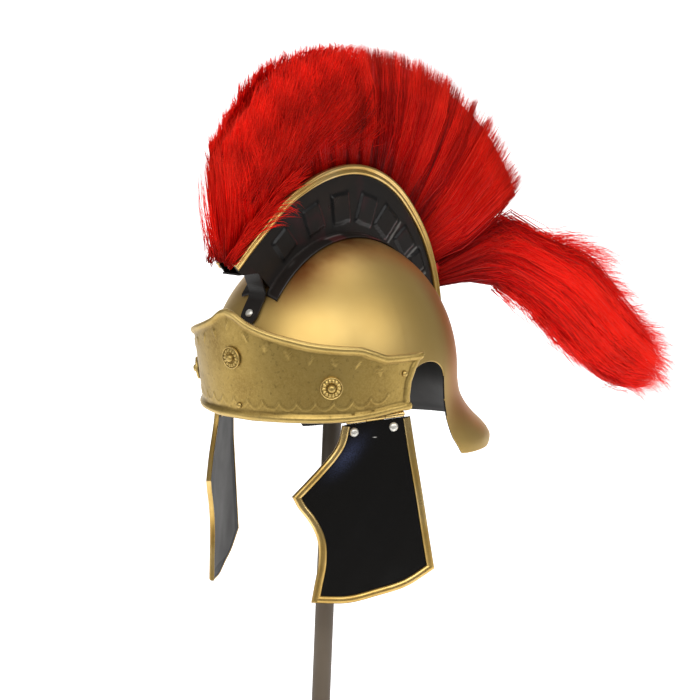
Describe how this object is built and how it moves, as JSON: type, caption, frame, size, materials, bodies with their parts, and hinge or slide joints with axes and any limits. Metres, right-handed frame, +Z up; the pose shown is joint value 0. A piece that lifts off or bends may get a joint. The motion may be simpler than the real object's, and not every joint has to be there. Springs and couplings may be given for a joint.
{
  "type": "roman legionary helmet on a post stand",
  "caption": "Domed helmet with a flared neck guard, an embossed brow band, hinged cheek guards and an arched box crest with a horsehair plume and tail, on a round-based post stand.",
  "frame": {"origin": "centre of the underside of the stand's base", "axes": "+Z up, -Y the way the wearer looks, +X the wearer's left"},
  "size_m": [0.2582, 0.6614, 0.6694],
  "materials": {
    "gold_paint": "satin gold paint over sheet steel",
    "antique_brass": "darkened embossed brass, brushed",
    "bright_brass": "polished brass",
    "black_paint": "gloss black paint, slightly rippled",
    "silver_rivet": "bright nickel rivet head",
    "horsehair": "dyed red horsehair",
    "stand_paint": "brown-grey satin paint"
  },
  "bodies": {
    "helmet_and_stand": {"skull_bowl": "gold_paint", "brow_band": "antique_brass", "rosette_front": "antique_brass", "rosette_left": "antique_brass", "rosette_right": "antique_brass", "band_rivet_front": "antique_brass", "band_rivet_left": "antique_brass", "band_rivet_right": "antique_brass", "crest_box": "black_paint", "crest_trim_left": "gold_paint", "crest_trim_right": "gold_paint", "crest_rivet": "silver_rivet", "plume_front": "horsehair", "plume_back": "horsehair", "plume_tail": "horsehair", "hinge_leaf_left": "bright_brass", "hinge_leaf_right": "bright_brass", "hinge_pin_left": "bright_brass", "hinge_pin_right": "bright_brass", "stand_base": "stand_paint", "stand_post": "stand_paint", "stand_pad": "stand_paint"},
    "cheek_left": {"cheek_guard_left": "black_paint", "cheek_edging_left": "bright_brass", "cheek_rivet_front_left": "silver_rivet", "cheek_rivet_rear_left": "silver_rivet", "hinge_strap_left": "bright_brass"},
    "cheek_right": {"cheek_guard_right": "black_paint", "cheek_edging_right": "bright_brass", "cheek_rivet_front_right": "silver_rivet", "cheek_rivet_rear_right": "silver_rivet", "hinge_strap_right": "bright_brass"}
  },
  "joints": [
    {"name": "cheek_left_hinge", "type": "hinge", "parent": "helmet_and_stand", "child": "cheek_left", "pos_m": [0.096, -0.0265, 0.3415], "axis": [-0.5421, -0.8348, -0.0958], "range_deg": [-10, 50]},
    {"name": "cheek_right_hinge", "type": "hinge", "parent": "helmet_and_stand", "child": "cheek_right", "pos_m": [-0.096, -0.0265, 0.3415], "axis": [-0.5421, 0.8348, 0.0958], "range_deg": [-10, 50]}
  ]
}
